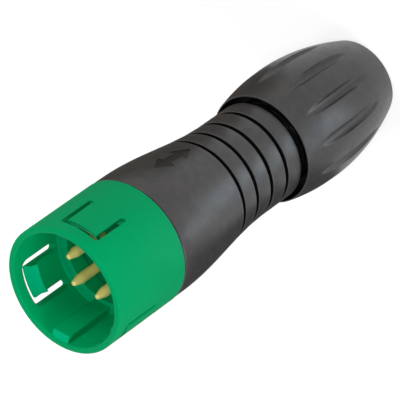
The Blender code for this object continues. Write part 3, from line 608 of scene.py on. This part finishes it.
# Third slot: near-black painted shade
plugHousing.data.materials.append(recessPlastic)
for face in plugHousing.data.polygons:
    sunk = barrelRadius(face.center.z) - hypot(face.center.x, face.center.y)
    onArrow = abs(face.center.z - arrow["height"]) < arrow["length"] / 2 and sunk < 2 * arrow["depth"]
    seamAndTailShade = face.center.z > housingFront - 0.3 * housing["frontRound"] or face.center.z < housing["neckEnd"] - 0.1 * mm
    if onArrow and sunk > arrow["depth"] * 0.1:
        face.material_index = 1
    # Painted shade: groove floors, the bore, the front seam at the sleeve and the tail under the nut are painted near
    # black
    elif seamAndTailShade or (sunk > housing["grooveDepth"] / 3 and not onArrow):
        face.material_index = 2
print("housing:", len(plugHousing.data.polygons), "faces")

# Clamping nut

nut = {
    "segments": 576, "rows": 62, "radius": 7.5 * mm, "widest": 12.1 * mm, "lipRadius": 6.75 * mm,
    "lipThickness": 0.13 * mm, "lipRound": 0.05 * mm, "endRadius": 5.07 * mm, "endRound": 0.7 * mm,
    "pocketDepth": 2.5 * mm, "floor": 2.0 * mm, "holeRadius": 3.5 * mm, "holeRound": 0.15 * mm,
    "threadRows": 6,
}
flute = {"count": 12, "cutter": 0.66 * mm, "depth": 0.5 * mm, "height": 12.6 * mm, "tilt": radians(2.6),
         "phase": radians(-6), "soften": 0.045 * mm, "gather": 0.45}


def nutRadius(height):                     # one curve up to the lip and another down to the rear
    if height > nut["widest"]:
        share = (height - nut["widest"]) / (nutFront - nut["widest"])
        return nut["radius"] - (nut["radius"] - nut["lipRadius"]) * share ** 2
    share = (nut["widest"] - height) / nut["widest"]
    return nut["radius"] - (nut["radius"] - nut["endRadius"]) * share ** 2


def fromFlute(angle):                      # the angle from the nearest flute's middle
    step = 2 * pi / flute["count"]
    return (angle - firstTongue - flute["phase"] + step / 2) % step - step / 2


def fluteRadius(height, offset):           # how far out the scoop's surface lies, well outside where it ends
    middle = nutRadius(flute["height"]) - flute["depth"] + flute["cutter"]
    axis = middle + (height - flute["height"]) * sin(flute["tilt"]) / cos(flute["tilt"])
    reach = flute["cutter"] ** 2 - (axis * sin(offset)) ** 2
    if reach <= 0:
        return axis
    return axis * cos(offset) - sqrt(reach)


def softMinimum(first, second, width):
    overlap = max(0.0, 1 - abs(first - second) / width)
    return min(first, second) - overlap * overlap * width / 4


pocketRadius = nut["lipRadius"] - nut["lipThickness"]
boreRadius = thread["radius"] + thread["nutGap"]
boreTop = nutFront - nut["pocketDepth"]
boreRows = round((boreTop - cageLow.z - 6 * mm) / thread["pitch"] * nut["threadRows"])
coneFoot = cageLow.z
flangeFoot = coneFoot + 4.4 * mm
boreFoot = flangeFoot + 0.7 * mm
nutSection = [(pocketRadius, nutFront, 0), (nut["lipRadius"], nutFront, nut["lipRound"])]
nutSection += [(nutRadius(height), height, 0) for height in spaced(nutFront, 0, nut["rows"])]
nutSection += [
    (nut["endRadius"], 0, nut["endRound"]), (nut["holeRadius"], 0, nut["holeRound"]),
    (nut["holeRadius"], nut["floor"], 0), (4.07 * mm, coneFoot, 0), (5.07 * mm, flangeFoot, 0),
    (boreRadius, boreFoot, 0),
]
nutSection += [(boreRadius, height, 0) for height in reversed(spaced(boreTop, boreFoot, boreRows))]
nutSection += [(boreRadius, boreTop, 0), (pocketRadius, boreTop, 0)]
nutMesh = lathe(nutSection, nut["segments"])
for vert in nutMesh.verts:
    radius = hypot(vert.co.x, vert.co.y)
    angle = atan2(vert.co.y, vert.co.x)
    angle -= flute["gather"] * sin(flute["count"] * fromFlute(angle)) / flute["count"]   # more faces in the flutes
    shaped = radius
    if abs(radius - nutRadius(vert.co.z)) < 0.02 * mm and 1 * mm < vert.co.z < nutFront - 1 * mm:
        shaped = softMinimum(radius, fluteRadius(vert.co.z, fromFlute(angle)), flute["soften"])
    elif abs(radius - boreRadius) < 1e-6 and boreFoot + 1e-6 < vert.co.z < boreTop - 1e-6:
        fade = min(1.0, (boreTop - vert.co.z) / thread["pitch"] * 2, (vert.co.z - boreFoot) / thread["pitch"] * 2)
        shaped = radius + thread["nutDepth"] * max(0.0, fade) * ridge(vert.co.z, angle)
    vert.co.x = shaped * cos(angle)
    vert.co.y = shaped * sin(angle)
clampingNut = pieceFrom(nutMesh, "clampingNut")
giveTo(clampingNut, "clamping_nut", "clamping_nut", blackPlastic)
clampingNut.data.materials.append(recessPlastic)
# Painted shade: the pocket and bore inside the nut's lip are painted near black
for face in clampingNut.data.polygons:
    inside = hypot(face.center.x, face.center.y) < pocketRadius + 0.05 * mm
    face.material_index = int(inside and face.center.z > boreFoot and face.center.z < nutFront - 0.1 * mm)
print("clamping nut:", len(clampingNut.data.polygons), "faces")

# Inner pieces that stay as the frame has them
for node, material in (("clamp_cage", clampPlastic), ("cable_seal", sealRubber), ("insert_spacer", clampPlastic),
                       ("sleeve_seal_ring", sealRubber)):
    frame["nodes"][node].data.materials.clear()
    frame["nodes"][node].data.materials.append(material)

# Studio

studio = {
    "floorSize": 6.0, "floorDrop": 0.02 * mm, "floorColour": (0.5, 0.5, 0.5), "floorGlow": 0.68,
    "zenith": 0.2, "horizon": 0.6,
}
lamps = [
    # name, place, aim, size, power, colour
    ("topKey", (60 * mm, 40 * mm, 600 * mm), (0, 0, 50 * mm), 160 * mm, 0.36, (1.0, 1.0, 1.0)),
    ("eyeKey", (-210 * mm, -290 * mm, 410 * mm), (0, 0, 45 * mm), 120 * mm, 0.72, (1.0, 1.0, 1.0)),
    ("lowLeft", (-477 * mm, 50 * mm, 225 * mm), (0, 0, 45 * mm), 220 * mm, 1.3, (1.0, 1.0, 1.0)),
    ("lowRight", (195 * mm, -439 * mm, 225 * mm), (0, 0, 45 * mm), 220 * mm, 0.75, (1.0, 1.0, 1.0)),
]
pinSpot = {"place": (-330 * mm, -456 * mm, 546 * mm), "aim": (0, 0, 51 * mm), "cone": radians(0.8), "blend": 0.5,
           "size": 20 * mm, "power": 14.0, "colour": (1.0, 0.55, 0.15)}
cards = [
    # name, place, facing, width, height, brightness; seen only in reflections
    ("nutCard", (-22 * mm, -12.5 * mm, 1.0 * mm), (0, 0, 1), 12 * mm, 14 * mm, (3.6, 4.2, 4.6)),
    ("neckCard", (-34 * mm, -12.5 * mm, 1.0 * mm), (0, 0, 1), 12 * mm, 14 * mm, (1.2, 1.4, 1.5)),
    ("barrelCard", (-49 * mm, -12.5 * mm, 1.0 * mm), (0, 0, 1), 18 * mm, 14 * mm, (5.2, 6.0, 6.5)),
    ("darkCard", (-12 * mm, 66 * mm, 0.8 * mm), (0, 0, 1), 110 * mm, 100 * mm, (0.08, 0.08, 0.09)),
    ("warmCard", (66 * mm, 18 * mm, 0.8 * mm), (0, 0, 1), 100 * mm, 110 * mm, (0.13, 0.11, 0.08)),
]
photoView = {
    "azimuth": radians(-35.903), "elevation": radians(41.368), "roll": radians(-125.710),
    "aim": (-0.513 * mm, 0.372 * mm, 30.789 * mm), "distance": 500.93 * mm, "lens": 402.6, "sensor": 36.0,
}


def seenDirectly(wire):                    # 1 for what the camera, a mirror or glass shows
    return (wire.node("ShaderNodeLightPath", output="Is Camera Ray")
            + wire.node("ShaderNodeLightPath", output="Is Glossy Ray")
            + wire.node("ShaderNodeLightPath", output="Is Transmission Ray"))


def floorMaterial():
    material, wire = newMaterial("floor")
    matt = wire.node("ShaderNodeBsdfDiffuse", values={"Color": (*studio["floorColour"], 1)})
    glow = wire.node("ShaderNodeEmission", values={"Color": (1, 1, 1, 1), "Strength": studio["floorGlow"]})
    both = wire.node("ShaderNodeAddShader", values={0: matt, 1: glow})
    endMaterial(wire, wire.node("ShaderNodeMixShader", values={0: seenDirectly(wire), 1: matt, 2: both}))
    return material


def flatSheet(name, width, height, place, facing, material):
    bm = bmesh.new()
    bmesh.ops.create_grid(bm, x_segments=1, y_segments=1, size=0.5)
    bmesh.ops.scale(bm, verts=bm.verts, vec=(width, height, 1))
    bmesh.ops.rotate(bm, verts=bm.verts, cent=(0, 0, 0), matrix=Vector(facing).to_track_quat('Z', 'Y').to_matrix())
    bmesh.ops.translate(bm, verts=bm.verts, vec=place)
    sheet = pieceFrom(bm, name)
    sheet.data.materials.append(material)
    return sheet


def cardMaterial(name, brightness):
    material, wire = newMaterial(name)
    endMaterial(wire, wire.node("ShaderNodeEmission", values={"Color": (*brightness, 1), "Strength": 1.0}))
    return material


flatSheet("floor", studio["floorSize"], studio["floorSize"], (0, 0, -studio["floorDrop"]), (0, 0, 1), floorMaterial())
for cardName, place, facing, width, height, brightness in cards:
    card = flatSheet(cardName, width, height, place, facing, cardMaterial(cardName, brightness))
    card.visible_camera = card.visible_diffuse = card.visible_shadow = card.visible_transmission = False

world = bpy.data.worlds.new("studio")
bpy.context.scene.world = world
world.use_nodes = True
world.node_tree.nodes.clear()
sky = Wire(world.node_tree)
direction = sky.node("ShaderNodeTexCoord", output="Generated")
below = 1 - sky.node("ShaderNodeSeparateXYZ", values={"Vector": direction}, output="Z")
tent = below * below * (studio["horizon"] - studio["zenith"]) + studio["zenith"]
seen = seenDirectly(sky)
background = sky.node("ShaderNodeBackground", values={
    "Color": (1, 1, 1, 1), "Strength": seen * (1 - tent) + tent})
worldOutput = world.node_tree.nodes.new("ShaderNodeOutputWorld")
world.node_tree.links.new(background.socket, worldOutput.inputs["Surface"])



def hang(lamp, power, colour, place, aim):
    lamp.energy = power
    lamp.color = colour
    lampObject = bpy.data.objects.new(lamp.name, lamp)
    lampObject.location = place
    lampObject.rotation_euler = (Vector(aim) - Vector(place)).to_track_quat('-Z', 'Y').to_euler()
    lampObject.visible_camera = False
    bpy.context.scene.collection.objects.link(lampObject)


for lampName, place, aim, size, power, colour in lamps:
    lamp = bpy.data.lights.new(lampName, 'AREA')
    lamp.shape = 'DISK'
    lamp.size = size
    hang(lamp, power, colour, place, aim)
spot = bpy.data.lights.new("pinSpot", 'SPOT')
spot.spot_size = pinSpot["cone"]
spot.spot_blend = pinSpot["blend"]
spot.shadow_soft_size = pinSpot["size"]
hang(spot, pinSpot["power"], pinSpot["colour"], pinSpot["place"], pinSpot["aim"])

cameraData = bpy.data.cameras.new("photoCamera")
cameraData.lens = photoView["lens"]
cameraData.sensor_width = photoView["sensor"]
cameraData.clip_start = 0.02
cameraData.clip_end = 20
cameraObject = bpy.data.objects.new("photoCamera", cameraData)
turn = (Matrix.Rotation(photoView["azimuth"], 4, 'Z') @ Matrix.Rotation(pi / 2 - photoView["elevation"], 4, 'X')
        @ Matrix.Rotation(photoView["roll"], 4, 'Z'))
cameraObject.matrix_world = (Matrix.Translation(photoView["aim"]) @ turn
                             @ Matrix.Translation((0, 0, photoView["distance"])))
bpy.context.scene.collection.objects.link(cameraObject)
bpy.context.scene.camera = cameraObject
bpy.context.scene.view_settings.view_transform = 'Standard'
print("studio ready")
